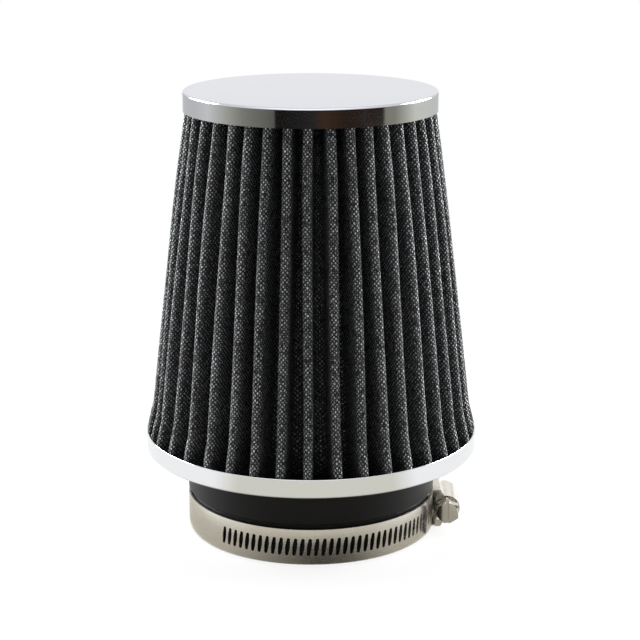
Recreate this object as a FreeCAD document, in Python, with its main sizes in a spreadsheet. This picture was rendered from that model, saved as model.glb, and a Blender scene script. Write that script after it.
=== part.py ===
import FreeCAD, Part
import math
import os

import Sketcher
from FreeCAD import Placement, Rotation, Vector

doc = FreeCAD.newDocument("intake_filter")

# Driving dimensions in millimetres and degrees. The filter stands on its neck, axis up.
dimensions = {
    "neck_bore": 76.0,  # pipe that the neck slips over
    "neck_wall": 5.6,
    "neck_height": 30.4,  # rim of the neck to the underside of the base
    "rim_round": 1.6,
    "lead_in": 1.0,
    "clamp_stop": 1.0,  # step above the groove that takes the clamp
    "neck_fillet": 6.0,
    "flange_thickness": 2.8,
    "collar_wall": 4.5,
    "collar_height": 3.2,
    "ring_height": 6.7,
    "ring_sheet": 0.6,
    "ring_lip": 3.0,
    "ring_bend": 0.2,  # inside of the bend
    "cap_diameter": 88.8,
    "cap_sheet": 0.6,
    "cap_bend": 0.3,  # inside of the bend
    "cap_skirt": 6.7,
    "overall_height": 158.5,
    "seal_thickness": 4.0,
    "seal_boss": 3.0,
    "pleat_count": 40,
    "pleat_depth": 14.8,
    "pleat_slit": 0.9,  # between the two layers of a fold
    "pleat_turn": -0.8,
    "media_sheet": 1.2,
    "screen_sheet": 0.6,
    "screen_columns": 12,
    "screen_rows": 5,
    "screen_strand": 1.6,
    "seat_gap": 0.3,  # screen to its neighbours
    "pleat_gap": 0.35,  # pleats to the ring and the cap
    "bond_gap": 0.1,  # glue line on round faces
    "band_width": 12.7,
    "band_sheet": 0.6,
    "clamp_lift": 0.2,  # neck's rim to the lowest edge of the clamp
    "clamp_gap": 0.1,  # band to neck, housing and step, and one lap to the next
    "strap_lap": 16.0,
    "tail_lap": 26.0,
    "rise_turn": 90.0,  # where the strip starts to climb onto its second lap
    "slot_pitch": 2.5,
    "slot_width": 1.2,
    "slot_length": 6.4,
    "slot_lean": 7.0,
    "slot_count": 36,
    "slot_margin": 4.0,  # last slot in a single layer to the lap
    "tail_margin": 2.0,  # last slot to the tail's end
    "housing_length": 16.0,
    "housing_sheet": 0.6,
    "housing_shoulder": 2.0,
    "arch_foot": 10.0,  # how far the arch runs past its middle
    "worm_diameter": 8.0,
    "worm_gap": 0.2,
    "thread_depth": 1.0,
    "thread_land": 0.8,
    "thread_sink": 0.3,  # thread's foot inside the core
    "shank_diameter": 5.0,
    "pilot_diameter": 4.0,
    "pilot_length": 0.8,
    "bearing_gap": 0.08,
    "end_play": 0.3,
    "washer_diameter": 7.6,
    "washer_thickness": 0.4,
    "head_flats": 8.0,
    "head_height": 4.0,
    "head_bevel": 0.24,  # flats to the rim of the round face
    "bevel_slope": 30.0,
    "head_slot": 1.2,
    "head_slot_depth": 1.6,
}

sheet = doc.addObject("Spreadsheet::Sheet", "sizes")
for row, (name, number) in enumerate(dimensions.items(), start=1):
    sheet.set(f"A{row}", name)
    sheet.set(f"B{row}", str(number))
    sheet.setAlias(f"B{row}", name)
doc.recompute()

# Heights that several pieces share
base_z = "sizes.neck_height"
ring_top_z = f"({base_z} + sizes.ring_height)"
lip_top_z = f"({base_z} + sizes.ring_sheet)"
tray_z = f"({lip_top_z} + sizes.flange_thickness)"
collar_z = f"({tray_z} + sizes.collar_height)"
cap_z = "sizes.overall_height"
cap_in_z = f"({cap_z} - sizes.cap_sheet)"
seal_z = f"({cap_in_z} - sizes.seal_thickness)"
skirt_z = f"({cap_z} - sizes.cap_skirt)"

# Radii from the bore outward, those of the cone where it stands in the tray
bore_r = "(sizes.neck_bore / 2)"
seat_r = f"({bore_r} + sizes.neck_wall)"
shoulder_r = f"({seat_r} + sizes.clamp_stop)"
collar_r = f"({bore_r} + sizes.collar_wall)"
screen_in_r = f"({collar_r} + sizes.seat_gap)"
screen_out_r = f"({screen_in_r} + sizes.screen_sheet)"
fold_r = f"({screen_out_r} + sizes.seat_gap)"
crest_r = f"({fold_r} + sizes.pleat_depth)"
ring_in_r = f"({crest_r} + sizes.pleat_gap)"
ring_r = f"({ring_in_r} + sizes.ring_sheet)"
lip_r = f"({ring_in_r} - sizes.ring_lip)"
cap_r = "(sizes.cap_diameter / 2)"
cap_in_r = f"({cap_r} - sizes.cap_sheet)"
skirt_crest_r = f"({cap_in_r} - sizes.pleat_gap)"
taper = f"(({crest_r} - {skirt_crest_r}) / ({skirt_z} - {tray_z}))"

# Clamp: inner lap, outer lap and the screw that bears on it, which lies along Y
leg_in = "(sizes.band_width / 2 + sizes.clamp_gap)"
leg_out = f"({leg_in} + sizes.housing_sheet)"
band_z = f"(sizes.clamp_lift + {leg_out})"
strip_z = f"({band_z} - sizes.band_width / 2)"
step_z = f"({band_z} + {leg_out} + sizes.clamp_gap)"
lap_r = f"({seat_r} + sizes.clamp_gap)"
over_r = f"({lap_r} + sizes.band_sheet + sizes.clamp_gap)"
over_top_r = f"({over_r} + sizes.band_sheet)"
worm_r = "(sizes.worm_diameter / 2)"
screw_x = f"({over_top_r} + sizes.worm_gap + {worm_r})"
housing_end = "(sizes.housing_length / 2)"
screw_end = f"({housing_end} - sizes.housing_sheet - sizes.end_play)"
head_z = f"({housing_end} + sizes.end_play + sizes.washer_thickness)"
head_top_z = f"({head_z} + sizes.head_height)"
slot_step = f"(sizes.slot_pitch / ({over_r} + sizes.band_sheet / 2) * 180 / pi)"


def value(expression):
    return float(sheet.evalExpression(str(expression)))


def on_cone(radius, height):
    return f"({radius} - {taper} * ({height} - {tray_z}))"


def polar(radius, degrees):
    return f"{radius} * cos(({degrees}) * 1 deg)", f"{radius} * sin(({degrees}) * 1 deg)"


def origin_feature(body, role):
    return next(item for item in body.Origin.OriginFeatures if item.Role == role)


def new_body(label):
    body = doc.addObject("PartDesign::Body", label)
    body.Label = label
    return body


def new_sketch(body, name, plane, lift=None, turn=None):
    sketch = body.newObject("Sketcher::SketchObject", name)
    sketch.AttachmentSupport = [(origin_feature(body, plane), "")]
    sketch.MapMode = "FlatFace"
    if turn is not None:
        sketch.AttachmentOffset = Placement(Vector(), Rotation(Vector(0, 1, 0), 1))
        sketch.setExpression("AttachmentOffset.Rotation.Angle", f"({turn}) * 1 deg")
    if lift is not None:
        # A turned sketch moves along its own normal, so the lift is turned with it
        angle = f"(({turn}) * 1 deg)" if turn is not None else "0 deg"
        sketch.setExpression("AttachmentOffset.Base.x", f"({lift}) * sin({angle})")
        sketch.setExpression("AttachmentOffset.Base.z", f"({lift}) * cos({angle})")
    return sketch


def tie(sketch, kind, *where):
    expression = where[-1]
    index = sketch.addConstraint(Sketcher.Constraint(kind, *where[:-1], value(expression)))
    sketch.setExpression(f"Constraints[{index}]", str(expression))


def tie_point(sketch, geometry, vertex, across, along):
    for kind, axis, expression in (("DistanceX", -2, across), ("DistanceY", -1, along)):
        if expression == "0":
            sketch.addConstraint(Sketcher.Constraint("PointOnObject", geometry, vertex, axis))
        else:
            tie(sketch, kind, -1, 1, geometry, vertex, expression)


def draw(sketch, corners):
    # Each corner is (x, y), or (x, y, radius, side) when an arc leaves it: side 1 turns left, -1 right
    points = [Vector(value(corner[0]), value(corner[1]), 0) for corner in corners]
    edges = []
    for number, corner in enumerate(corners):
        start, stop = points[number], points[(number + 1) % len(points)]
        if len(corner) == 2:
            edges.append((sketch.addGeometry(Part.LineSegment(start, stop)), 1, 2))
            continue
        radius, side = value(corner[2]), corner[3]
        half = (stop - start) * 0.5
        rise = math.sqrt(max(radius ** 2 - half.Length ** 2, 0.0))
        left = Vector(-half.y, half.x, 0).normalize()
        centre = start + half + left * (rise * side)
        first, last = (start, stop) if side > 0 else (stop, start)
        first_angle = math.atan2(first.y - centre.y, first.x - centre.x)
        last_angle = math.atan2(last.y - centre.y, last.x - centre.x)
        circle = Part.Circle(centre, Vector(0, 0, 1), radius)
        index = sketch.addGeometry(Part.ArcOfCircle(circle, first_angle, last_angle))
        edges.append((index, 1, 2) if side > 0 else (index, 2, 1))
    for number, (index, start, stop) in enumerate(edges):
        following = edges[(number + 1) % len(edges)]
        sketch.addConstraint(Sketcher.Constraint("Coincident", index, stop, following[0], following[1]))
    for (index, start, stop), corner in zip(edges, corners):
        tie_point(sketch, index, start, corner[0], corner[1])
        if len(corner) > 2:
            tie(sketch, "Radius", index, corner[2])


def feature(body, kind, name, sketch, **lengths):
    made = body.newObject("PartDesign::" + kind, name)
    made.Profile = sketch
    for key, expression in lengths.items():
        made.setExpression(key, str(expression))
    return made


def turned(body, name, corners, cut=False):
    # Full turn of an (r, z) outline about the axis
    sketch = new_sketch(body, name + "_outline", "XZ_Plane")
    draw(sketch, corners)
    made = feature(body, "Groove" if cut else "Revolution", name, sketch)
    made.ReferenceAxis = (sketch, ["V_Axis"])
    made.Angle = 360
    return made


def around(body, name, originals, count, step=None, backward=False):
    doc.recompute()
    pattern = body.newObject("PartDesign::PolarPattern", name)
    pattern.Originals = originals
    pattern.Axis = (origin_feature(body, "Z_Axis"), [""])
    pattern.Reversed = backward
    if step is None:
        pattern.Angle = 360
    else:
        pattern.Mode = "Spacing"
        pattern.setExpression("Offset", f"({step}) * 1 deg")
    pattern.setExpression("Occurrences", str(count))
    body.Tip = pattern
    return pattern


# Rubber neck: pipe bore, clamp groove, base with a tray for the pleats
neck = new_body("rubber_neck")
flange_r = f"({ring_in_r} - sizes.bond_gap)"
turned(neck, "moulding", [
    (f"{bore_r} + sizes.lead_in", "0"),
    (f"{seat_r} - sizes.rim_round", "0", "sizes.rim_round", 1),
    (seat_r, "sizes.rim_round"),
    (seat_r, step_z),
    (shoulder_r, f"{step_z} + sizes.clamp_stop"),
    (shoulder_r, f"{base_z} - sizes.neck_fillet", "sizes.neck_fillet", -1),
    (f"{shoulder_r} + sizes.neck_fillet", base_z),
    (f"{lip_r} - sizes.bond_gap", base_z),
    (f"{lip_r} - sizes.bond_gap", lip_top_z),
    (f"{flange_r} - sizes.ring_bend", lip_top_z),
    (flange_r, f"{lip_top_z} + sizes.ring_bend"),
    (flange_r, tray_z),
    (collar_r, tray_z),
    (on_cone(collar_r, collar_z), collar_z),
    (bore_r, collar_z),
    (bore_r, "sizes.lead_in"),
])

# Chromed ring: a bent lip holds it under the base
ring = new_body("base_ring")
ring_outer_bend = "(sizes.ring_bend + sizes.ring_sheet)"
turned(ring, "trim", [
    (lip_r, base_z),
    (f"{ring_r} - {ring_outer_bend}", base_z, ring_outer_bend, 1),
    (ring_r, f"{base_z} + {ring_outer_bend}"),
    (ring_r, f"{ring_top_z} - sizes.ring_sheet / 2", "sizes.ring_sheet / 2", 1),
    (f"{ring_r} - sizes.ring_sheet / 2", ring_top_z, "sizes.ring_sheet / 2", 1),
    (ring_in_r, f"{ring_top_z} - sizes.ring_sheet / 2"),
    (ring_in_r, f"{lip_top_z} + sizes.ring_bend", "sizes.ring_bend", -1),
    (f"{ring_in_r} - sizes.ring_bend", lip_top_z),
    (lip_r, lip_top_z),
])

# Chromed cup over the narrow end
cap = new_body("top_cap")
cap_outer_bend = "(sizes.cap_bend + sizes.cap_sheet)"
turned(cap, "cup", [
    (cap_in_r, f"{skirt_z} + sizes.cap_sheet / 2", "sizes.cap_sheet / 2", 1),
    (f"{cap_in_r} + sizes.cap_sheet / 2", skirt_z, "sizes.cap_sheet / 2", 1),
    (cap_r, f"{skirt_z} + sizes.cap_sheet / 2"),
    (cap_r, f"{cap_z} - {cap_outer_bend}", cap_outer_bend, 1),
    (f"{cap_r} - {cap_outer_bend}", cap_z),
    ("0", cap_z),
    ("0", cap_in_z),
    (f"{cap_in_r} - sizes.cap_bend", cap_in_z, "sizes.cap_bend", -1),
    (cap_in_r, f"{cap_in_z} - sizes.cap_bend"),
])

# Seal under the cup, with a boss that centres the screen
seal = new_body("top_seal")
boss_r = f"({on_cone(screen_in_r, seal_z)} - sizes.seat_gap)"
seal_r = f"({cap_in_r} - sizes.bond_gap)"
turned(seal, "pad", [
    ("0", f"{seal_z} - sizes.seal_boss"),
    (boss_r, f"{seal_z} - sizes.seal_boss"),
    (boss_r, seal_z),
    (seal_r, seal_z),
    (seal_r, f"{cap_in_z} - sizes.cap_bend"),
    (f"{seal_r} - sizes.cap_bend", cap_in_z),
    ("0", cap_in_z),
])

# Pleats: one fold lofted from tray to seal, then repeated round the axis
media = new_body("pleated_media")
half_angle = "(180 / sizes.pleat_count)"
half_slit = "(sizes.pleat_slit / 2)"
half_width = f"({half_slit} + sizes.media_sheet)"


def fold_outline(sketch, crest):
    spread = f"sin({half_angle} * 1 deg)"
    valley = f"({crest} - sizes.pleat_depth + sizes.media_sheet)"
    valley_centre = f"(({valley} - {half_width}) / (1 - {spread}))"
    valley_arc = f"({valley_centre} * {spread} - {half_width})"
    crest_centre = f"({crest} - {half_width})"
    back_arc = f"({valley_arc} + sizes.media_sheet)"
    floor_x, floor_y = polar(valley, half_angle)
    back_x, back_y = polar(f"({valley} - sizes.media_sheet)", half_angle)
    flank_x = f"{valley_centre} * cos({half_angle} * 1 deg)"
    draw(sketch, [
        (crest, "0", half_width, 1),
        (crest_centre, half_width),
        (flank_x, half_width, valley_arc, -1),
        (floor_x, floor_y),
        (back_x, back_y, back_arc, 1),
        (flank_x, half_slit),
        (crest_centre, half_slit, half_slit, -1),
        (f"{crest_centre} + {half_slit}", "0", half_slit, -1),
        (crest_centre, f"-{half_slit}"),
        (flank_x, f"-{half_slit}", back_arc, 1),
        (back_x, f"-{back_y}"),
        (floor_x, f"-{floor_y}", valley_arc, -1),
        (flank_x, f"-{half_width}"),
        (crest_centre, f"-{half_width}", half_width, 1),
    ])


fold_base = new_sketch(media, "fold_base", "XY_Plane", tray_z)
fold_outline(fold_base, crest_r)
fold_top = new_sketch(media, "fold_top", "XY_Plane", seal_z)
fold_outline(fold_top, on_cone(crest_r, seal_z))
fold = feature(media, "AdditiveLoft", "fold", fold_base)
fold.Sections = [fold_top]
fold.Ruled = True
fold.Refine = False
around(media, "pleats", [fold], "sizes.pleat_count").Refine = False
media.Placement = Placement(Vector(), Rotation(Vector(0, 0, 1), 1))
media.setExpression("Placement.Rotation.Angle", "sizes.pleat_turn * 1 deg")

# Expanded-metal cone: diamonds in two staggered columns, repeated round the axis
screen = new_body("inner_screen")
screen_cone = turned(screen, "cone", [
    (screen_in_r, tray_z),
    (screen_out_r, tray_z),
    (on_cone(screen_out_r, seal_z), seal_z),
    (on_cone(screen_in_r, seal_z), seal_z),
])
row_height = f"(({seal_z} - {tray_z} - 2 * sizes.screen_strand) / sizes.screen_rows)"
column_angle = "(180 / sizes.screen_columns)"


def diamond_column(name, turn, first, count):
    sketch = new_sketch(screen, name + "_outline", "XZ_Plane", turn=turn)
    for row in range(count):
        middle = f"({tray_z} + sizes.screen_strand + ({row} + {first}) * {row_height})"
        reach = f"({on_cone(screen_in_r, middle)} * tan({column_angle} * 1 deg) - sizes.screen_strand)"
        rise = f"({row_height} / 2 - sizes.screen_strand)"
        draw(sketch, [
            ("0", f"{middle} - {rise}"),
            (reach, middle),
            ("0", f"{middle} + {rise}"),
            (f"-{reach}", middle),
        ])
    column = feature(screen, "Pocket", name, sketch, Length=f"2 * {screen_out_r}")
    column.Reversed = True
    return column


screen_rows = int(value("sizes.screen_rows"))
columns = [
    diamond_column("even_column", "0", 0.5, screen_rows),
    diamond_column("odd_column", column_angle, 1, screen_rows - 1),
]
around(screen, "diamonds", columns, "sizes.screen_columns")

# Clamp band: one strip that starts under the housing, rounds the neck and laps over its own start
band = new_body("clamp_band")
strap_start = "(0 - sizes.strap_lap)"
rise_start = "sizes.rise_turn"
tail_end = "(360 + sizes.tail_lap)"
offset_x, offset_y = polar(f"(({over_r} - {lap_r}) / 2)", f"{rise_start} + 180")
rise_r = f"(({over_r} + {lap_r}) / 2)"


def strip_side(extra, side):
    quarter_x, quarter_y = polar(f"({rise_r} + {extra})", f"{rise_start} + 90")
    stops = [
        polar(f"({lap_r} + {extra})", strap_start) + (f"{lap_r} + {extra}", side),
        polar(f"({lap_r} + {extra})", f"({strap_start} + {rise_start}) / 2") + (f"{lap_r} + {extra}", side),
        polar(f"({lap_r} + {extra})", rise_start) + (f"{rise_r} + {extra}", side),
        (f"{offset_x} + {quarter_x}", f"{offset_y} + {quarter_y}", f"{rise_r} + {extra}", side),
        polar(f"({over_r} + {extra})", f"{rise_start} + 180") + (f"{over_r} + {extra}", side),
        polar(f"({over_r} + {extra})", tail_end),
    ]
    return stops


inner_side = strip_side("0", 1)
outer_side = strip_side("sizes.band_sheet", -1)
outer_side.reverse()
# Going back along the outer side, each arc belongs to the corner before it
outer_path = [corner[:2] + following[2:] for corner, following in zip(outer_side, outer_side[1:])]
outer_path.append(outer_side[-1][:2])
strip_plan = new_sketch(band, "strip_plan", "XY_Plane", strip_z)
draw(strip_plan, inner_side + outer_path)
feature(band, "Pad", "strip", strip_plan, Length="sizes.band_width")


def slot(name, degrees, depth_from, depth):
    sketch = new_sketch(band, name + "_outline", "XZ_Plane", depth_from, f"{degrees} + 90")
    lean_sin, lean_cos = "sin(sizes.slot_lean * 1 deg)", "cos(sizes.slot_lean * 1 deg)"
    half = "(sizes.slot_width / 2)"
    tip = "(sizes.slot_length / 2)"
    reach = f"({tip} - {half})"

    def leaning(across, along):
        return (f"{across} * {lean_cos} + {along} * {lean_sin}",
                f"{band_z} + {along} * {lean_cos} - {across} * {lean_sin}")

    draw(sketch, [
        leaning(half, reach) + (half, 1),
        leaning("0", tip) + (half, 1),
        leaning(f"(0 - {half})", reach),
        leaning(f"(0 - {half})", f"(0 - {reach})") + (half, 1),
        leaning("0", f"(0 - {tip})") + (half, 1),
        leaning(half, f"(0 - {reach})"),
    ])
    cut = feature(band, "Pocket", name, sketch, Length=depth)
    cut.Reversed = True
    return cut


last_front_slot = f"({strap_start} + 360 - sizes.slot_margin)"
first_lap_slot = f"({last_front_slot} + {slot_step})"
front_slot = slot("front_slot", last_front_slot, f"{lap_r} - sizes.band_sheet",
                  f"{over_top_r} - {lap_r} + 2 * sizes.band_sheet")
around(band, "front_slots", [front_slot], "sizes.slot_count", slot_step, backward=True)
lap_slot = slot("lap_slot", first_lap_slot, f"{over_r} - sizes.clamp_gap / 2", "2 * sizes.band_sheet")
lap_count = f"floor(({tail_end} - {first_lap_slot} - sizes.tail_margin) / {slot_step}) + 1"
around(band, "lap_slots", [lap_slot], lap_count, slot_step)

# Clamp housing: folded sheet, legs beside the band and an arch over the screw
housing = new_body("clamp_housing")
fold_x = f"({over_top_r} + sizes.housing_shoulder)"
wall_x = f"({over_top_r} + sizes.worm_gap)"
arch_in = f"({worm_r} + sizes.worm_gap)"
arch_out = f"({arch_in} + sizes.housing_sheet)"


def arch(radius, leg, side):
    # Lower shoulder, over the arch, upper shoulder
    foot_x = f"{screw_x} - {radius} * sin(sizes.arch_foot * 1 deg)"
    foot_z = f"{radius} * cos(sizes.arch_foot * 1 deg)"
    return [
        (fold_x, f"{band_z} - {leg}"),
        (foot_x, f"{band_z} - {foot_z}", radius, side),
        (f"{screw_x} + {radius}", band_z, radius, side),
        (foot_x, f"{band_z} + {foot_z}"),
        (fold_x, f"{band_z} + {leg}"),
    ]


inner_arch = arch(arch_in, leg_in, -1)
inner_arch.reverse()
inner_path = [corner[:2] + following[2:] for corner, following in zip(inner_arch, inner_arch[1:])]
inner_path.append(inner_arch[-1][:2])
saddle_section = new_sketch(housing, "saddle_section", "XZ_Plane")
draw(saddle_section, [(lap_r, f"{band_z} - {leg_out}")] + arch(arch_out, leg_out, 1) + [
    (lap_r, f"{band_z} + {leg_out}"),
    (lap_r, f"{band_z} + {leg_in}"),
] + inner_path + [
    (lap_r, f"{band_z} - {leg_in}"),
])
saddle = feature(housing, "Pad", "saddle", saddle_section, Length="sizes.housing_length")
saddle.SideType = "Symmetric"


def end_wall(name, lift, bearing):
    sketch = new_sketch(housing, name + "_outline", "XZ_Plane", lift)
    draw(sketch, [(wall_x, f"{band_z} - {leg_out}")] + arch(arch_out, leg_out, 1) + [
        (wall_x, f"{band_z} + {leg_out}"),
    ])
    radius = f"{bearing} / 2 + sizes.bearing_gap"
    middle = Vector(value(screw_x), value(band_z), 0)
    circle = sketch.addGeometry(Part.Circle(middle, Vector(0, 0, 1), value(radius)))
    tie_point(sketch, circle, 3, screw_x, band_z)
    tie(sketch, "Radius", circle, radius)
    feature(housing, "Pad", name, sketch, Length="sizes.housing_sheet")


end_wall("front_wall", f"{housing_end} - sizes.housing_sheet", "sizes.shank_diameter")
end_wall("back_wall", f"-{housing_end}", "sizes.pilot_diameter")

# Clamp screw: built upright with the head on top, then laid along Y with the head to the front
screw = new_body("clamp_screw")
core_r = f"({worm_r} - sizes.thread_depth)"
thread_foot_r = f"({core_r} - sizes.thread_sink)"
shank_r = "(sizes.shank_diameter / 2)"
pilot_r = "(sizes.pilot_diameter / 2)"
washer_r = "(sizes.washer_diameter / 2)"
washer_z = f"({housing_end} + sizes.end_play)"
turned(screw, "shaft", [
    ("0", f"-{housing_end} - sizes.pilot_length"),
    (pilot_r, f"-{housing_end} - sizes.pilot_length"),
    (pilot_r, f"-{screw_end}"),
    (core_r, f"-{screw_end}"),
    (core_r, screw_end),
    (shank_r, screw_end),
    (shank_r, washer_z),
    (washer_r, washer_z),
    (washer_r, head_z),
    ("0", head_z),
])
doc.recompute()
head_plan = new_sketch(screw, "head_plan", "XY_Plane", head_z)
corner_r = "(sizes.head_flats / 2 / cos(30 deg))"
draw(head_plan, [polar(corner_r, 30 + 60 * number) for number in range(6)])
feature(screw, "Pad", "head", head_plan, Length="sizes.head_height")
bevel_r = "(sizes.head_flats / 2 - sizes.head_bevel)"
bevel_fall = f"((sizes.head_flats - {bevel_r}) * tan(sizes.bevel_slope * 1 deg))"
turned(screw, "bevel", [
    (bevel_r, head_top_z),
    ("sizes.head_flats", f"{head_top_z} - {bevel_fall}"),
    ("sizes.head_flats", f"{head_top_z} + sizes.head_height"),
    (bevel_r, f"{head_top_z} + sizes.head_height"),
], cut=True)
drive_plan = new_sketch(screw, "drive_plan", "XY_Plane", head_top_z)
draw(drive_plan, [
    ("sizes.head_slot / 2", "-sizes.head_flats"),
    ("sizes.head_slot / 2", "sizes.head_flats"),
    ("-sizes.head_slot / 2", "sizes.head_flats"),
    ("-sizes.head_slot / 2", "-sizes.head_flats"),
])
feature(screw, "Pocket", "drive_slot", drive_plan, Length="sizes.head_slot_depth")
doc.recompute()
thread_section = new_sketch(screw, "thread_section", "XZ_Plane")
thread_z = f"(sizes.slot_pitch / 2 - {screw_end})"
draw(thread_section, [
    (thread_foot_r, f"{thread_z} - sizes.thread_land"),
    (worm_r, f"{thread_z} - sizes.thread_land / 2"),
    (worm_r, f"{thread_z} + sizes.thread_land / 2"),
    (thread_foot_r, f"{thread_z} + sizes.thread_land"),
])
thread = feature(screw, "AdditiveHelix", "thread", thread_section,
                 Pitch="sizes.slot_pitch", Height=f"2 * {screw_end} - sizes.slot_pitch")
thread.ReferenceAxis = (thread_section, ["V_Axis"])
screw.Placement = Placement(Vector(), Rotation(Vector(1, 0, 0), 90))
screw.setExpression("Placement.Base.x", screw_x)
screw.setExpression("Placement.Base.z", band_z)

doc.recompute()

faulty = [item.Name for item in doc.Objects if {"Invalid", "Error"} & set(item.State)]
if faulty:
    raise RuntimeError("not built: " + ", ".join(faulty))
pieces = [neck, ring, cap, seal, media, screen, band, housing, screw]
os.makedirs("parts", exist_ok=True)
for piece in pieces:
    shape = piece.Shape
    if shape.isNull() or not shape.isValid() or len(shape.Solids) != 1:
        raise RuntimeError(piece.Label + " is not one valid solid")
    shape.exportStep(os.path.join("parts", piece.Label + ".step"))
    print(f"{piece.Label}: {shape.Volume / 1000:.2f} cm3, {len(shape.Faces)} faces")
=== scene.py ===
import math
import bmesh
import bpy
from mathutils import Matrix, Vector


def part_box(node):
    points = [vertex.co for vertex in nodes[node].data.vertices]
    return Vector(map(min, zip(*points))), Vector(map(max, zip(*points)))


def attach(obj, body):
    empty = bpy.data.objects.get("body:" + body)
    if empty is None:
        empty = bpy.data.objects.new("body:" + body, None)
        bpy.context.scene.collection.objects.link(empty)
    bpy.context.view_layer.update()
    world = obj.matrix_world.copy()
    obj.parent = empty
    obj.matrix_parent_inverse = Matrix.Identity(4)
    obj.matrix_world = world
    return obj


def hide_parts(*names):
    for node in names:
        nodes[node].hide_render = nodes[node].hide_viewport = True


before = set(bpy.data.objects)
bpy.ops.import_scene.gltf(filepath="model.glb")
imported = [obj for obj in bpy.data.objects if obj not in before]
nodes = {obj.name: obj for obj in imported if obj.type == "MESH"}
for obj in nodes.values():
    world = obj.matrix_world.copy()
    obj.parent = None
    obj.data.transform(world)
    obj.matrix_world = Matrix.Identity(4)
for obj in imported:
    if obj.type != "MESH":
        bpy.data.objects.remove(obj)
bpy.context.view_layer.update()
mm = 0.001
weldGap = 0.0005  # points this close, in mm, are one point
print("frame loaded:", sorted(nodes))


def linear(hexCode):  # sRGB hex to linear RGBA
    channels = [int(hexCode[i:i + 2], 16) / 255 for i in (1, 3, 5)]
    return tuple(c / 12.92 if c <= 0.04045 else ((c + 0.055) / 1.055) ** 2.4 for c in channels) + (1.0,)


def addNode(tree, kind, settings, inputs):  # an input is a value, or another node's output to link
    node = tree.nodes.new(kind)
    for name, setting in settings.items():
        setattr(node, name, setting)
    for socket, source in inputs.items():
        if isinstance(source, bpy.types.NodeSocket):
            tree.links.new(source, node.inputs[socket])
        else:
            node.inputs[socket].default_value = source
    return node


def newMaterial(name):
    material = bpy.data.materials.new(name)
    material.use_nodes = True
    material.node_tree.nodes.clear()
    return material, material.node_tree


def newObject(name, points, faces, material):  # points in metres
    mesh = bpy.data.meshes.new(name)
    mesh.from_pydata(points, [], faces)
    mesh.materials.append(material)
    made = bpy.data.objects.new(name, mesh)
    bpy.context.scene.collection.objects.link(made)
    return made


# points in mm, on the filter's body; sheet gives each point's place on the flat cloth and its painted fold
# shade
def filterPiece(name, points, faces, material, sharpAngle, sheet=None):
    piece = newObject(name, [Vector(p) * mm for p in points], faces, material)
    mesh = piece.data
    if sheet:
        layer = mesh.uv_layers.new(name="sheet")
        for loop in mesh.loops:
            layer.data[loop.index].uv = sheet[loop.vertex_index][:2]
        foldShade = mesh.attributes.new("foldShade", "FLOAT", "POINT")
        foldShade.data.foreach_set("value", [spot[2] for spot in sheet])
    shape = bmesh.new()
    shape.from_mesh(mesh)
    bmesh.ops.remove_doubles(shape, verts=shape.verts, dist=weldGap * mm)
    bmesh.ops.recalc_face_normals(shape, faces=shape.faces)
    shape.to_mesh(mesh)
    shape.free()
    mesh.shade_smooth()
    mesh.set_sharp_from_angle(angle=math.radians(sharpAngle))
    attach(piece, "filter")
    return piece


# chrome on pressed steel: a mirror that shows the room, with faint press waves and wiping marks
chromeLook = {"colour": "#c8cad2", "roughness": 0.05, "smudge": 0.05, "smudgeSize": 14.0,
              "smudgeRange": (0.35, 0.75), "waveSize": 22.0, "waveStrength": 0.1, "waveDepth": 0.4}


def chromedSteel(name, look):
    material, tree = newMaterial(name)
    place = addNode(tree, "ShaderNodeTexCoord", {}, {}).outputs["Object"]
    smudge = addNode(tree, "ShaderNodeTexNoise", {}, {
        "Vector": place, "Scale": 1 / (look["smudgeSize"] * mm), "Detail": 4.0})
    rough = addNode(tree, "ShaderNodeMapRange", {}, {
        "Value": smudge.outputs["Fac"],
        "From Min": look["smudgeRange"][0], "From Max": look["smudgeRange"][1],
        "To Min": look["roughness"], "To Max": look["roughness"] + look["smudge"]})
    wave = addNode(tree, "ShaderNodeTexNoise", {}, {
        "Vector": place, "Scale": 1 / (look["waveSize"] * mm), "Detail": 1.0})
    bump = addNode(tree, "ShaderNodeBump", {}, {
        "Height": wave.outputs["Fac"],
        "Strength": look["waveStrength"], "Distance": look["waveDepth"] * mm})
    shader = addNode(tree, "ShaderNodeBsdfPrincipled", {}, {
        "Base Color": linear(look["colour"]), "Metallic": 1.0,
        "Roughness": rough.outputs["Result"], "Normal": bump.outputs["Normal"]})
    addNode(tree, "ShaderNodeOutputMaterial", {}, {"Surface": shader.outputs["BSDF"]})
    return material


# moulded EPDM rubber: near black with a soft sheen, fine grain from the mould and a little grey bloom
rubberLook = {"dark": "#070708", "light": "#131314", "grainSize": 0.45, "grainStrength": 0.25,
              "grainDepth": 0.08, "bloomSize": 9.0, "roughness": 0.46, "smoother": 0.06, "rougher": 0.1,
              "ior": 1.52, "sheen": 0.2}


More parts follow.
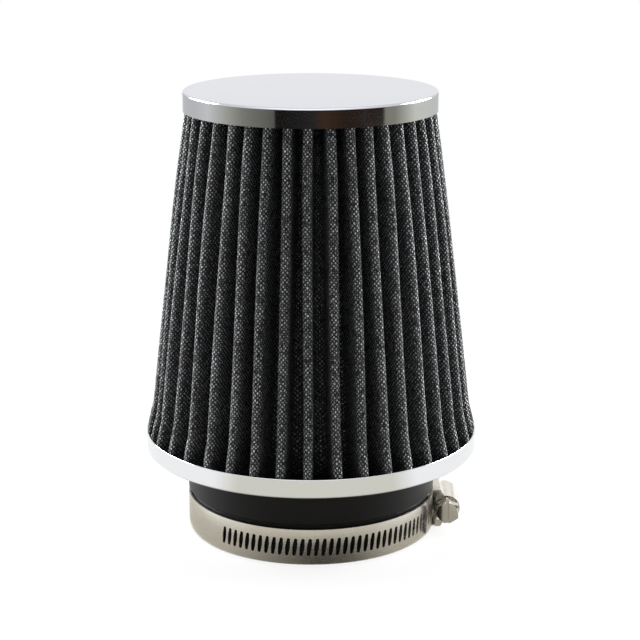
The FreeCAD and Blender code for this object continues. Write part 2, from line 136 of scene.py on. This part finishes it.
def mouldedRubber(name, look):
    material, tree = newMaterial(name)
    place = addNode(tree, "ShaderNodeTexCoord", {}, {}).outputs["Object"]
    bloom = addNode(tree, "ShaderNodeTexNoise", {}, {
        "Vector": place, "Scale": 1 / (look["bloomSize"] * mm), "Detail": 5.0, "Roughness": 0.6})
    tint = addNode(tree, "ShaderNodeMix", {"data_type": "RGBA"}, {
        0: bloom.outputs["Fac"], 6: linear(look["dark"]), 7: linear(look["light"])})
    rough = addNode(tree, "ShaderNodeMapRange", {}, {
        "Value": bloom.outputs["Fac"],
        "To Min": look["roughness"] - look["smoother"], "To Max": look["roughness"] + look["rougher"]})
    grain = addNode(tree, "ShaderNodeTexNoise", {}, {
        "Vector": place, "Scale": 1 / (look["grainSize"] * mm), "Detail": 2.0})
    bump = addNode(tree, "ShaderNodeBump", {}, {
        "Height": grain.outputs["Fac"],
        "Strength": look["grainStrength"], "Distance": look["grainDepth"] * mm})
    shader = addNode(tree, "ShaderNodeBsdfPrincipled", {}, {
        "Base Color": tint.outputs[2], "Roughness": rough.outputs["Result"], "IOR": look["ior"],
        "Specular IOR Level": look["sheen"], "Normal": bump.outputs["Normal"]})
    addNode(tree, "ShaderNodeOutputMaterial", {}, {"Surface": shader.outputs["BSDF"]})
    return material


# epoxy-coated steel wire cloth over black gauze: staggered grey glints, painted into the colour, where a
# wire passes over, with black holes between, and painted shade that dims the wires off the crests of the
# folds; the real wires are finer than a pixel, so the cloth is drawn coarser, with sizes in mm
weaveLook = {"across": 0.74, "along": 0.78, "narrow": 1.5, "long": 0.8, "weftShare": 0.16, "slack": 1.5,
             "slackSize": 2.0, "wire": "#f6fbff", "gap": "#060708", "rareGlint": 0.6,
             "soilSize": 17.0, "soilRange": (0.3, 0.7), "soiled": 0.65, "roughness": 0.42,
             "gapRoughness": 0.95, "reliefStrength": 0.7, "reliefDepth": 0.3, "metallic": 0.2, "sheen": 0.3}


def wovenMesh(name, look):
    material, tree = newMaterial(name)
    sheet = addNode(tree, "ShaderNodeUVMap", {"uv_map": "sheet"}, {}).outputs["UV"]
    slack = addNode(tree, "ShaderNodeTexNoise", {}, {
        "Vector": sheet, "Scale": 1 / (look["slackSize"] * mm), "Detail": 2.0})
    place = addNode(tree, "ShaderNodeSeparateXYZ", {}, {"Vector": sheet})
    pull = addNode(tree, "ShaderNodeSeparateXYZ", {}, {"Vector": slack.outputs["Color"]})
    soil = addNode(tree, "ShaderNodeTexNoise", {}, {
        "Vector": sheet, "Scale": 1 / (look["soilSize"] * mm), "Detail": 3.0})
    foldShade = addNode(tree, "ShaderNodeAttribute", {"attribute_name": "foldShade"}, {})
    made = {"u": place.outputs["X"], "v": place.outputs["Y"], "pullU": pull.outputs["X"],
            "pullV": pull.outputs["Y"], "soil": soil.outputs["Fac"]}
    steps = (  # result, operation, terms; a knuckle is long along its own wire and narrow across it
        ("startU", "MULTIPLY", "pullU", look["slack"]),
        ("startV", "MULTIPLY", "pullV", look["slack"]),
        ("countU", "MULTIPLY_ADD", "u", 1 / (look["across"] * mm), "startU"),
        ("countV", "MULTIPLY_ADD", "v", 1 / (look["along"] * mm), "startV"),
        ("turnU", "MULTIPLY", "countU", math.pi),
        ("turnV", "MULTIPLY", "countV", math.pi),
        ("waveU", "SINE", "turnU"),
        ("waveV", "SINE", "turnV"),
        ("sizeU", "ABSOLUTE", "waveU"),
        ("sizeV", "ABSOLUTE", "waveV"),
        ("narrowU", "POWER", "sizeU", look["narrow"]),
        ("narrowV", "POWER", "sizeV", look["narrow"]),
        ("longU", "POWER", "sizeU", look["long"]),
        ("longV", "POWER", "sizeV", look["long"]),
        ("side", "MULTIPLY", "waveU", "waveV"),
        ("over", "GREATER_THAN", "side", 0.0),
        ("under", "SUBTRACT", 1.0, "over"),
        ("warp", "MULTIPLY", "narrowU", "longV"),
        ("weftFull", "MULTIPLY", "narrowV", "longU"),
        ("weft", "MULTIPLY", "weftFull", look["weftShare"]),
        ("warpOver", "MULTIPLY", "warp", "over"),
        ("knuckle", "MULTIPLY_ADD", "weft", "under", "warpOver"),
        ("cellU", "FLOOR", "countU"),
        ("cellV", "FLOOR", "countV"),
    )
    for result, operation, *terms in steps:
        inputs = {i: made.get(term, term) for i, term in enumerate(terms)}
        made[result] = addNode(tree, "ShaderNodeMath", {"operation": operation}, inputs).outputs[0]
    cell = addNode(tree, "ShaderNodeCombineXYZ", {}, {"X": made["cellU"], "Y": made["cellV"]})
    chance = addNode(tree, "ShaderNodeTexWhiteNoise", {"noise_dimensions": "2D"}, {
        "Vector": cell.outputs["Vector"]})
    glint = addNode(tree, "ShaderNodeMath", {"operation": "POWER"}, {
        0: chance.outputs["Value"], 1: look["rareGlint"]})
    clean = addNode(tree, "ShaderNodeMapRange", {}, {
        "Value": made["soil"], "From Min": look["soilRange"][0], "From Max": look["soilRange"][1],
        "To Min": look["soiled"], "To Max": 1.0})
    bright = addNode(tree, "ShaderNodeMath", {"operation": "MULTIPLY"}, {
        0: glint.outputs[0], 1: clean.outputs["Result"]})
    # painted shade from the folds dims the wires away from the crests
    crest = addNode(tree, "ShaderNodeMath", {"operation": "MULTIPLY"}, {
        0: bright.outputs[0], 1: foldShade.outputs["Fac"]})
    lit = addNode(tree, "ShaderNodeMath", {"operation": "MULTIPLY"}, {
        0: made["knuckle"], 1: crest.outputs[0]})
    colour = addNode(tree, "ShaderNodeMix", {"data_type": "RGBA"}, {
        0: lit.outputs[0], 6: linear(look["gap"]), 7: linear(look["wire"])})
    rough = addNode(tree, "ShaderNodeMapRange", {}, {
        "Value": made["knuckle"], "To Min": look["gapRoughness"], "To Max": look["roughness"]})
    bump = addNode(tree, "ShaderNodeBump", {}, {
        "Height": made["knuckle"],
        "Strength": look["reliefStrength"], "Distance": look["reliefDepth"] * mm})
    shader = addNode(tree, "ShaderNodeBsdfPrincipled", {}, {
        "Base Color": colour.outputs[2], "Roughness": rough.outputs["Result"], "Metallic": look["metallic"],
        "Specular IOR Level": look["sheen"], "Normal": bump.outputs["Normal"]})
    addNode(tree, "ShaderNodeOutputMaterial", {}, {"Surface": shader.outputs["BSDF"]})
    return material


# cold-rolled stainless strip: warm grey, fine rolling lines along the strip, soft glints and faint stains
steelLook = {"colour": "#f7f3eb", "dark": "#e9e4da", "roughness": 0.24, "smoother": 0.08, "rougher": 0.1,
             "lineSize": 0.16, "lineDraw": 0.02, "lineStrength": 0.18, "lineDepth": 0.03, "stainSize": 7.0}


def rolledStainless(name, look):
    material, tree = newMaterial(name)
    place = addNode(tree, "ShaderNodeTexCoord", {}, {}).outputs["Object"]
    along = addNode(tree, "ShaderNodeMapping", {}, {
        "Vector": place, "Scale": (look["lineDraw"], look["lineDraw"], 1.0)})
    lines = addNode(tree, "ShaderNodeTexNoise", {}, {
        "Vector": along.outputs["Vector"], "Scale": 1 / (look["lineSize"] * mm), "Detail": 3.0})
    stain = addNode(tree, "ShaderNodeTexNoise", {}, {
        "Vector": place, "Scale": 1 / (look["stainSize"] * mm), "Detail": 4.0})
    tint = addNode(tree, "ShaderNodeMix", {"data_type": "RGBA"}, {
        0: stain.outputs["Fac"], 6: linear(look["dark"]), 7: linear(look["colour"])})
    rough = addNode(tree, "ShaderNodeMapRange", {}, {
        "Value": lines.outputs["Fac"],
        "To Min": look["roughness"] - look["smoother"], "To Max": look["roughness"] + look["rougher"]})
    bump = addNode(tree, "ShaderNodeBump", {}, {
        "Height": lines.outputs["Fac"],
        "Strength": look["lineStrength"], "Distance": look["lineDepth"] * mm})
    shader = addNode(tree, "ShaderNodeBsdfPrincipled", {}, {
        "Base Color": tint.outputs[2], "Metallic": 1.0,
        "Roughness": rough.outputs["Result"], "Normal": bump.outputs["Normal"]})
    addNode(tree, "ShaderNodeOutputMaterial", {}, {"Surface": shader.outputs["BSDF"]})
    return material


capChrome = chromedSteel("chromed_pressed_steel", chromeLook)
ringChrome = chromedSteel("chromed_rolled_steel", dict(chromeLook, colour="#eaecee"))
neckRubber = mouldedRubber("moulded_epdm_rubber", rubberLook)
sealRubber = mouldedRubber("cast_polyurethane", dict(rubberLook, light="#232325", roughness=0.6))
meshCloth = wovenMesh("coated_wire_cloth", weaveLook)
bandSteel = rolledStainless("rolled_stainless", steelLook)
housingSteel = rolledStainless("stamped_stainless", dict(steelLook, colour="#d6d1c8", roughness=0.22))
screwSteel = rolledStainless("turned_stainless", dict(steelLook, colour="#d8d4cc", roughness=0.2))
screenSteel = rolledStainless("galvanised_expanded_steel", dict(
    steelLook, colour="#b4b6b8", dark="#85888b", roughness=0.42))
print("materials made")


def roundedOutline(corners, steps=6):  # (r, z, radius) corners, each replaced by an arc
    points = []
    for i, (r, z, radius) in enumerate(corners):
        here = Vector((r, z))
        if radius <= 0:
            points.append(here)
            continue
        before = (Vector(corners[i - 1][:2]) - here).normalized()
        after = (Vector(corners[(i + 1) % len(corners)][:2]) - here).normalized()
        half = before.angle(after) / 2
        centre = here + (before + after).normalized() * (radius / math.sin(half))
        start = (here + before * (radius / math.tan(half)) - centre).normalized()
        stop = (here + after * (radius / math.tan(half)) - centre).normalized()
        points.extend(centre + start.slerp(stop, step / steps) * radius for step in range(steps + 1))
    return points


# extra points beside each bend keep the flats between them flat to the eye
def holdEdges(outline, margin=0.12):
    points = []
    for here, after in zip(outline, outline[1:] + outline[:1]):
        points.append(here)
        run = after - here
        if run.length > 5 * margin:
            points.append(here + run.normalized() * margin)
            points.append(after - run.normalized() * margin)
    return points


def turnedPiece(name, outline, material, segments):  # a closed (r, z) outline turned about Z
    outline = holdEdges(outline)
    count = len(outline)
    points, faces = [], []
    for s in range(segments):
        turn = 2 * math.pi * s / segments
        points.extend((p.x * math.cos(turn), p.x * math.sin(turn), p.y) for p in outline)
        here, there = s * count, (s + 1) % segments * count
        for i in range(count):
            j = (i + 1) % count
            if outline[i].x + outline[j].x > 0:  # no face along the axis itself
                faces.append((here + i, there + i, there + j, here + j))
    return filterPiece(name, points, faces, material, sharpAngle=35)


capLook = {"sheet": 0.6, "bend": 0.8, "insideBend": 0.3, "segments": 240}
low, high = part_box("top_cap")
capRadius, capTop, capSkirt = high.x / mm, high.z / mm, low.z / mm
capInside = capRadius - capLook["sheet"]
capUnder = capTop - capLook["sheet"]
cap = turnedPiece("pressed_cap", roundedOutline([
    (0, capTop, 0), (0, capUnder, 0), (capInside, capUnder, capLook["insideBend"]),
    (capInside, capSkirt, 0), (capRadius, capSkirt, 0), (capRadius, capTop, capLook["bend"])]),
    capChrome, capLook["segments"])
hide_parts("top_cap")

ringLook = {"sheet": 0.6, "bend": 0.8, "insideBend": 0.2, "edge": 0.2, "lip": 3.0, "lipEdge": 0.2,
            "segments": 288}
low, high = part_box("base_ring")
ringRadius, ringTop, ringLow = high.x / mm, high.z / mm, low.z / mm
ringInside = ringRadius - ringLook["sheet"]
ringTread = ringLow + ringLook["sheet"]
lipInside = ringInside - ringLook["lip"]
ring = turnedPiece("rolled_ring", roundedOutline([
    (lipInside, ringLow, ringLook["lipEdge"]), (ringRadius, ringLow, ringLook["bend"]),
    (ringRadius, ringTop, ringLook["edge"]), (ringInside, ringTop, ringLook["edge"]),
    (ringInside, ringTread, ringLook["insideBend"]), (lipInside, ringTread, ringLook["lipEdge"])]),
    ringChrome, ringLook["segments"])
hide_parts("base_ring")
print("chromed cap and ring made")

# folds stand a little off their even places, as hand-set pleats do; drifts are in degrees, in front from the
# left and behind as waves (size, rate, start); sway and ripple fade out over the held share at each end
# the cloth also gets painted shade: dimmer round the sides of each crest and down the flanks and valleys
pleatLook = {"count": 40, "turn": -0.8, "depth": 14.8, "width": 3.3, "sheet": 1.2, "play": 0.35, "rows": 30,
             "crestSteps": 10, "flankSteps": 3, "valleySteps": 8, "held": 1 / 6,
             "sway": 0.3, "swayTurns": (3.1, 2.3), "ripple": 0.16, "rippleTurns": (7, 1.9), "sink": 0.1,
             "belly": 0.75, "bellySkew": 1.6, "foot": 1.1, "footLift": 1.5, "footHeight": 4.0,
             "valleyShade": 0.45, "shadeFade": 0.8, "backDrift": ((0.45, 2.4, 0.0), (0.35, 1.1, 2.0)),
             "frontDrift": (-1.8, -1.0, -0.6, -0.1, -0.1, -0.2, -0.2, 0,
                            1.1, 0.9, 0.6, -0.2, -0.4, -0.7, -1.4)}


def bearing(turn):
    return Vector((math.cos(turn), math.sin(turn)))


def foldTurns(look):  # from the back, left side first
    turns = []
    reach = len(look["frontDrift"]) // 2
    for k in range(-look["count"] // 2, look["count"] // 2):
        drift = sum(size * math.sin(rate * k + start) for size, rate, start in look["backDrift"])
        if abs(k) <= reach:
            drift = look["frontDrift"][k + reach]
        turns.append(math.radians(look["turn"] - 90 + 360 * k / look["count"] + drift))
    return turns


# the folded sheet at one height; inset is 0 on its outside
def foldSection(look, turns, crest, sway, inset):
    half = look["width"] / 2
    valley = crest - look["depth"] + look["sheet"]
    crests, valleys, points, foldShade = [], [], [], []
    for k, turn in enumerate(turns):
        out, side = bearing(turn), bearing(turn + math.pi / 2)
        hub = out * (crest + sway[k][0] - half) + side * sway[k][1]
        steps = [math.pi * (step / look["crestSteps"] - 0.5) for step in range(look["crestSteps"] + 1)]
        # painted shade: each crest is brightest where it faces out and dims round its sides; the flanks and
        # valleys keep the dimmest level
        outward = [max(0.0, math.cos(step)) ** look["shadeFade"] for step in steps]
        crestShade = [look["valleyShade"] + (1 - look["valleyShade"]) * share for share in outward]
        arms = [out * math.cos(step) + side * math.sin(step) for step in steps]
        crests.append([hub + arm * (half - inset) for arm in arms])
        following = (turns[1:] + [turns[0] + 2 * math.pi])[k]
        gap, middle = (following - turn) / 2, (following + turn) / 2
        reach = (valley - half) / (1 - math.sin(gap))
        radius = reach * math.sin(gap) - half + inset
        first, last = turn - math.pi / 2, following - 1.5 * math.pi
        shares = [step / look["valleySteps"] for step in range(look["valleySteps"] + 1)]
        steps = [first + (last - first) * share for share in shares]
        valleys.append([bearing(middle) * reach + bearing(step) * radius for step in steps])
    for arc, dip, following in zip(crests, valleys, crests[1:] + crests[:1]):
        shares = [step / look["flankSteps"] for step in range(1, look["flankSteps"])]
        points.extend(arc)
        points.extend(arc[-1].lerp(dip[0], share) for share in shares)
        points.extend(dip)
        points.extend(dip[-1].lerp(following[0], share) for share in shares)
        foldShade.extend(crestShade + [look["valleyShade"]] * (len(dip) + 2 * len(shares)))
    return points + points[:1], foldShade + foldShade[:1]  # the glued seam of the sheet is at the back


def makePleats(look):
    lowest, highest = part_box("pleated_media")
    bottom, top = lowest.z / mm, highest.z / mm
    trayCrest = ringInside - look["play"]
    taper = (trayCrest - capInside + look["play"]) / (capSkirt - bottom)
    turns = foldTurns(look)
    points, sheet, faces = [], [], []
    for inset in (0.0, look["sheet"]):
        start = len(points)
        for row in range(look["rows"] + 1):
            share = row / look["rows"]
            height = bottom + (top - bottom) * share
            # the ends are held in the tray and the seal
            calm = min(1.0, share / look["held"], (1 - share) / look["held"])
            sway = []
            for k in range(look["count"]):
                ripple = math.sin(look["rippleTurns"][0] * share + look["rippleTurns"][1] * k)
                lean = math.sin(look["swayTurns"][0] * share + look["swayTurns"][1] * k)
                sway.append((calm * (look["ripple"] * ripple - look["sink"]), calm * look["sway"] * lean))
            belly = look["belly"] * math.sin(math.pi * share ** look["bellySkew"])
            away = (height - ringTop - look["footLift"]) / look["footHeight"]
            foot = look["foot"] * math.exp(-away ** 2) if row else 0.0
            crest = trayCrest - taper * (height - bottom) + belly + foot
            section, foldShade = foldSection(look, turns, crest, sway, inset)
            points.extend((p.x, p.y, height) for p in section)
        count = len(section)
        middle = [Vector(p) for p in points[start + look["rows"] // 2 * count:][:count]]
        along = [0.0]
        for here, after in zip(middle, middle[1:]):
            along.append(along[-1] + (after - here).length)
        for row in range(look["rows"] + 1):
            rise = (top - bottom) * row / look["rows"] * mm
            sheet.extend((u * mm, rise, shadeShare) for u, shadeShare in zip(along, foldShade))
            if row < look["rows"]:
                for i in range(count - 1):
                    a = start + row * count + i
                    faces.append((a, a + 1, a + count + 1, a + count))
    inner = len(points) // 2
    for row in (0, look["rows"]):  # the cut ends of the sheet
        for i in range(count - 1):
            a = row * count + i
            faces.append((a, a + 1, a + inner + 1, a + inner))
    piece = filterPiece("folded_wire_cloth", points, faces, meshCloth, sharpAngle=60, sheet=sheet)
    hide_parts("pleated_media")
    return piece


pleats = makePleats(pleatLook)
print("pleats made:", len(pleats.data.polygons), "faces")

# the punch leaves slots that are wider at their middle; turns in degrees from +X, sizes in mm
bandLook = {"slots": 36, "lastSlot": -20.0, "pitch": 2.5, "radius": 44.7, "width": 1.65, "length": 6.4,
            "lean": 7.0, "corners": 20, "punch": (43.0, 46.5), "round": 0.95}


def slottedBand(look):
    middle = (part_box("clamp_band")[0].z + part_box("clamp_band")[1].z) / 2 / mm
    lean = math.radians(look["lean"])
    points, faces = [], []
    count = look["corners"]
    for number in range(look["slots"]):
        turn = math.radians(look["lastSlot"]) - number * look["pitch"] / look["radius"]
        out, side = bearing(turn), bearing(turn + math.pi / 2)
        start = len(points)
        for reach in look["punch"]:
            for corner in range(count):
                spot = bearing(2 * math.pi * corner / count)
                across, along = spot.x * look["width"] / 2, spot.y * look["length"] / 2
                flat = out * reach + side * (across * math.cos(lean) + along * math.sin(lean))
                points.append((flat.x * mm, flat.y * mm,
                               (middle + along * math.cos(lean) - across * math.sin(lean)) * mm))
        faces.append(tuple(range(start + count - 1, start - 1, -1)))
        faces.append(tuple(range(start + count, start + 2 * count)))
        for corner in range(count):
            after = (corner + 1) % count
            faces.append((start + corner, start + after, start + count + after, start + count + corner))
    punch = newObject("slot_punch", points, faces, bandSteel)
    strip = newObject("slotted_band", [], [], bandSteel)
    strip.data = nodes["clamp_band"].data.copy()
    shape = bmesh.new()
    shape.from_mesh(strip.data)
    bmesh.ops.remove_doubles(shape, verts=shape.verts, dist=weldGap * mm)
    shape.to_mesh(strip.data)
    shape.free()
    cut = strip.modifiers.new("punched", "BOOLEAN")
    cut.object = punch
    cut.solver = "EXACT"
    mesh = bpy.data.meshes.new_from_object(strip.evaluated_get(bpy.context.evaluated_depsgraph_get()))
    strip.modifiers.clear()
    strip.data = mesh
    bpy.data.objects.remove(punch)
    mesh.materials.clear()
    mesh.materials.append(bandSteel)
    mesh.shade_smooth()
    normals = []  # round faces shade as true rounds, cut faces as flats
    for face in mesh.polygons:
        for loop in face.loop_indices:
            spot = mesh.vertices[mesh.loops[loop].vertex_index].co
            out = Vector((spot.x, spot.y, 0)).normalized()
            facing = out.dot(face.normal)
            normals.append(out * math.copysign(1, facing) if abs(facing) > look["round"] else face.normal)
    mesh.normals_split_custom_set(normals)
    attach(strip, "filter")
    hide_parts("clamp_band")
    return strip


band = slottedBand(bandLook)
print("band punched:", len(band.data.polygons), "faces")

# pieces that keep their shape from the CAD
keptPieces = {"top_seal": sealRubber, "rubber_neck": neckRubber, "clamp_housing": housingSteel,
              "clamp_screw": screwSteel, "inner_screen": screenSteel}
for name, material in keptPieces.items():
    nodes[name].data.materials.clear()
    nodes[name].data.materials.append(material)
print("kept pieces painted")

# sizes and places in metres; fill is the world's own light on the filter
stageLook = {"floorHalf": 4.0, "floorColour": "#f4f4f4", "shadowShare": 0.15, "shadowReach": 0.45,
             "ceilingHeight": 1.3, "ceilingHalf": 0.9, "ceilingFront": 2.5, "ceilingGlow": 1.7,
             "sidePower": 21.0, "sidePlace": (0.76, 0.38, 0.36), "sideAim": (0, 0, 0.08), "sideSize": 0.6,
             "topPower": 2.4, "topPlace": (0.0, 0.14, 1.0), "topAim": (0, 0, 0), "topSize": 0.45,
             "fill": 0.04}


def whiteRays(tree):  # 1 for the rays that see a white background, 0 for those that carry its light
    path = addNode(tree, "ShaderNodeLightPath", {}, {})
    glossy = addNode(tree, "ShaderNodeMath", {"operation": "MAXIMUM"}, {
        0: path.outputs["Is Camera Ray"], 1: path.outputs["Is Glossy Ray"]})
    clear = addNode(tree, "ShaderNodeMath", {"operation": "MAXIMUM"}, {
        0: glossy.outputs[0], 1: path.outputs["Is Transmission Ray"]})
    return clear.outputs[0]


def studioFloor(look):
    half = look["floorHalf"]
    material, tree = newMaterial("white_paper_sweep")
    place = addNode(tree, "ShaderNodeTexCoord", {}, {})
    around = addNode(tree, "ShaderNodeMapping", {}, {
        "Vector": place.outputs["Object"], "Scale": (1 / look["shadowReach"],) * 3})
    near = addNode(tree, "ShaderNodeTexGradient", {"gradient_type": "SPHERICAL"}, {
        "Vector": around.outputs["Vector"]})
    white = addNode(tree, "ShaderNodeMapRange", {}, {
        "Value": near.outputs["Fac"], "To Min": 1.0, "To Max": 1.0 - look["shadowShare"]})
    seen = addNode(tree, "ShaderNodeMath", {"operation": "MULTIPLY"}, {
        0: whiteRays(tree), 1: white.outputs["Result"]})
    paper = addNode(tree, "ShaderNodeBsdfDiffuse", {}, {"Color": linear(look["floorColour"])})
    glow = addNode(tree, "ShaderNodeEmission", {}, {"Color": (1, 1, 1, 1), "Strength": 1.0})
    blend = addNode(tree, "ShaderNodeMixShader", {}, {
        0: seen.outputs[0], 1: paper.outputs[0], 2: glow.outputs[0]})
    addNode(tree, "ShaderNodeOutputMaterial", {}, {"Surface": blend.outputs[0]})
    corners = [(-half, -half, 0), (half, -half, 0), (half, half, 0), (-half, half, 0)]
    newObject("floor", corners, [(0, 1, 2, 3)], material)


def bearingTones(tree, tones):  # colours by bearing about Z
    place = addNode(tree, "ShaderNodeTexCoord", {}, {})
    turned = addNode(tree, "ShaderNodeMapping", {}, {
        "Vector": place.outputs["Object"], "Rotation": (0, 0, math.pi / 2)})
    around = addNode(tree, "ShaderNodeTexGradient", {"gradient_type": "RADIAL"}, {
        "Vector": turned.outputs["Vector"]})
    ramp = addNode(tree, "ShaderNodeValToRGB", {}, {"Fac": around.outputs["Fac"]})
    stops = ramp.color_ramp.elements
    stops[0].color, stops[1].color = linear(tones[0][1]), linear(tones[-1][1])
    for turn, tone in tones:
        stops.new(0.5 + turn / 360).color = linear(tone)
    return ramp.outputs["Color"]


def glowing(tree, tone, strength=1.0):
    shade = addNode(tree, "ShaderNodeEmission", {}, {"Color": tone, "Strength": strength})
    addNode(tree, "ShaderNodeOutputMaterial", {}, {"Surface": shade.outputs[0]})


def mirroredOnly(name, points, faces, material):  # seen in reflections alone
    card = newObject(name, points, faces, material)
    card.visible_camera = card.visible_diffuse = card.visible_shadow = card.visible_transmission = False


# tones of the room that the chrome mirrors, by bearing in degrees from the front, positive to the right
roomLook = {"radius": 0.74, "height": 0.26, "reach": 158, "steps": 96, "tones": (
    (-158, "#d4d4d0"), (-121, "#dededa"), (-100, "#eeeee8"), (-80, "#cac8ba"),
    (-60, "#969688"), (-31, "#6c6c62"), (-29.5, "#17130f"), (2, "#2e2d2c"),
    (12, "#483427"), (30, "#33261d"), (65.5, "#302a26"), (67, "#9a9688"),
    (78, "#9c9a8a"), (104, "#edeedc"), (125, "#e6e8dc"), (158, "#d4d4d0"))}


def roomWall(look):
    material, tree = newMaterial("painted_room")
    glowing(tree, bearingTones(tree, look["tones"]))
    points, faces = [], []
    for step in range(look["steps"] + 1):
        spot = bearing(math.radians(look["reach"] * (2 * step / look["steps"] - 1) - 90)) * look["radius"]
        points.extend([(spot.x, spot.y, 0.0), (spot.x, spot.y, look["height"])])
        if step:
            faces.append((2 * step - 2, 2 * step, 2 * step + 1, 2 * step - 1))
    mirroredOnly("room_wall", points, faces, material)


# tones of the table round the neck that the chrome mirrors: a painted shadow of the filter close in, and a
# warm paper before the front
tableLook = {
    "inner": 46.0, "outer": 330.0, "height": 0.3, "shade": (63.0, 74.0), "paper": (92.0, 112.0), "steps": 96,
    "shadowTones": (
        (-180, "#c8c5bc"), (-46, "#aaa79e"), (-20, "#787670"), (0, "#484540"),
        (8, "#43403c"), (21, "#595751"), (43, "#a4a198"), (180, "#c8c5bc")),
    "nearTones": (
        (-180, "#ffffff"), (-75, "#ffffff"), (-35, "#cfccc3"),
        (40, "#cfccc3"), (75, "#ffffff"), (180, "#ffffff")),
    "farTones": (
        (-180, "#ffffff"), (-56, "#ffffff"), (-40, "#dcd9ce"),
        (46, "#dcd9ce"), (62, "#ffffff"), (180, "#ffffff"))}


def tableCard(look):
    material, tree = newMaterial("shaded_paper")
    place = addNode(tree, "ShaderNodeTexCoord", {}, {})
    distance = addNode(tree, "ShaderNodeVectorMath", {"operation": "LENGTH"}, {0: place.outputs["Object"]})
    # the painted shadow close in, faded out over the shade distances to the paler tones
    tone = bearingTones(tree, look["shadowTones"])
    for (start, stop), tones in ((look["shade"], look["nearTones"]), (look["paper"], look["farTones"])):
        away = addNode(tree, "ShaderNodeMapRange", {"interpolation_type": "SMOOTHSTEP"}, {
            "Value": distance.outputs["Value"], "From Min": start * mm, "From Max": stop * mm})
        tone = addNode(tree, "ShaderNodeMix", {"data_type": "RGBA"}, {
            0: away.outputs["Result"], 6: tone, 7: bearingTones(tree, tones)}).outputs[2]
    glowing(tree, tone)
    points, faces = [], []
    for step in range(look["steps"]):
        spot = bearing(2 * math.pi * step / look["steps"])
        rims = [spot * look[rim] * mm for rim in ("inner", "outer")]
        points.extend((rim.x, rim.y, look["height"] * mm) for rim in rims)
        after = (step + 1) % look["steps"]
        faces.append((2 * step, 2 * step + 1, 2 * after + 1, 2 * after))
    mirroredOnly("table_card", points, faces, material)


# a small black card before the clamp, in mm, seen in reflections alone and blocking no light; the near end
# of its housing mirrors it, so the card paints shade on that end
clampShadeLook = {"left": 42.6, "right": 47.6, "low": 0.3, "high": 11.0, "front": -16.5, "tone": "#100e0d"}


def clampShadeCard(look):
    material, tree = newMaterial("black_card")
    glowing(tree, linear(look["tone"]))
    corners = [(look[x] * mm, look["front"] * mm, look[z] * mm) for x, z in (
        ("left", "low"), ("right", "low"), ("right", "high"), ("left", "high"))]
    mirroredOnly("clamp_shade_card", corners, [(0, 1, 2, 3)], material)


def ceilingPanel(look):  # gives the bends of the chrome their white line
    material, tree = newMaterial("lit_ceiling")
    glowing(tree, (1, 1, 1, 1), look["ceilingGlow"])
    half, front, height = look["ceilingHalf"], -look["ceilingFront"], look["ceilingHeight"]
    corners = [(-half, front, height), (half, front, height), (half, 0, height), (-half, 0, height)]
    mirroredOnly("ceiling_panel", corners, [(0, 1, 2, 3)], material)


def softbox(name, place, target, size, power, mirrored=True):
    light = bpy.data.lights.new(name, "AREA")
    light.size = size
    light.energy = power
    lamp = bpy.data.objects.new(name, light)
    bpy.context.scene.collection.objects.link(lamp)
    lamp.visible_glossy = mirrored
    lamp.location = place
    lamp.rotation_euler = (Vector(target) - Vector(place)).to_track_quat("-Z", "Y").to_euler()


studioFloor(stageLook)
roomWall(roomLook)
tableCard(tableLook)
clampShadeCard(clampShadeLook)
ceilingPanel(stageLook)
right, back, up = stageLook["sidePlace"]
for name, place in (("left_softbox", (-right, back, up)), ("right_softbox", (right, back, up))):
    softbox(name, place, stageLook["sideAim"], stageLook["sideSize"], stageLook["sidePower"])
softbox("top_softbox", stageLook["topPlace"], stageLook["topAim"], stageLook["topSize"],
        stageLook["topPower"], mirrored=False)

world = bpy.data.worlds.new("studio")
bpy.context.scene.world = world
world.use_nodes = True
tree = world.node_tree
tree.nodes.clear()
strength = addNode(tree, "ShaderNodeMapRange", {}, {
    "Value": whiteRays(tree), "To Min": stageLook["fill"], "To Max": 1.0})
sky = addNode(tree, "ShaderNodeBackground", {}, {
    "Color": (1, 1, 1, 1), "Strength": strength.outputs["Result"]})
addNode(tree, "ShaderNodeOutputWorld", {}, {"Surface": sky.outputs[0]})

cameraLook = {"place": (0.003256, -0.61109, 0.2426), "pitch": 15.256, "focalPixels": 1771.39,
              "imagePixels": 640, "sensor": 36.0}
lens = bpy.data.cameras.new("camera")
lens.sensor_width = cameraLook["sensor"]
lens.lens = cameraLook["focalPixels"] / cameraLook["imagePixels"] * lens.sensor_width
camera = bpy.data.objects.new("camera", lens)
bpy.context.scene.collection.objects.link(camera)
camera.location = cameraLook["place"]
camera.rotation_euler = (math.radians(90 - cameraLook["pitch"]), 0, 0)
bpy.context.scene.camera = camera
bpy.context.scene.view_settings.view_transform = "Standard"
print("studio and camera set")
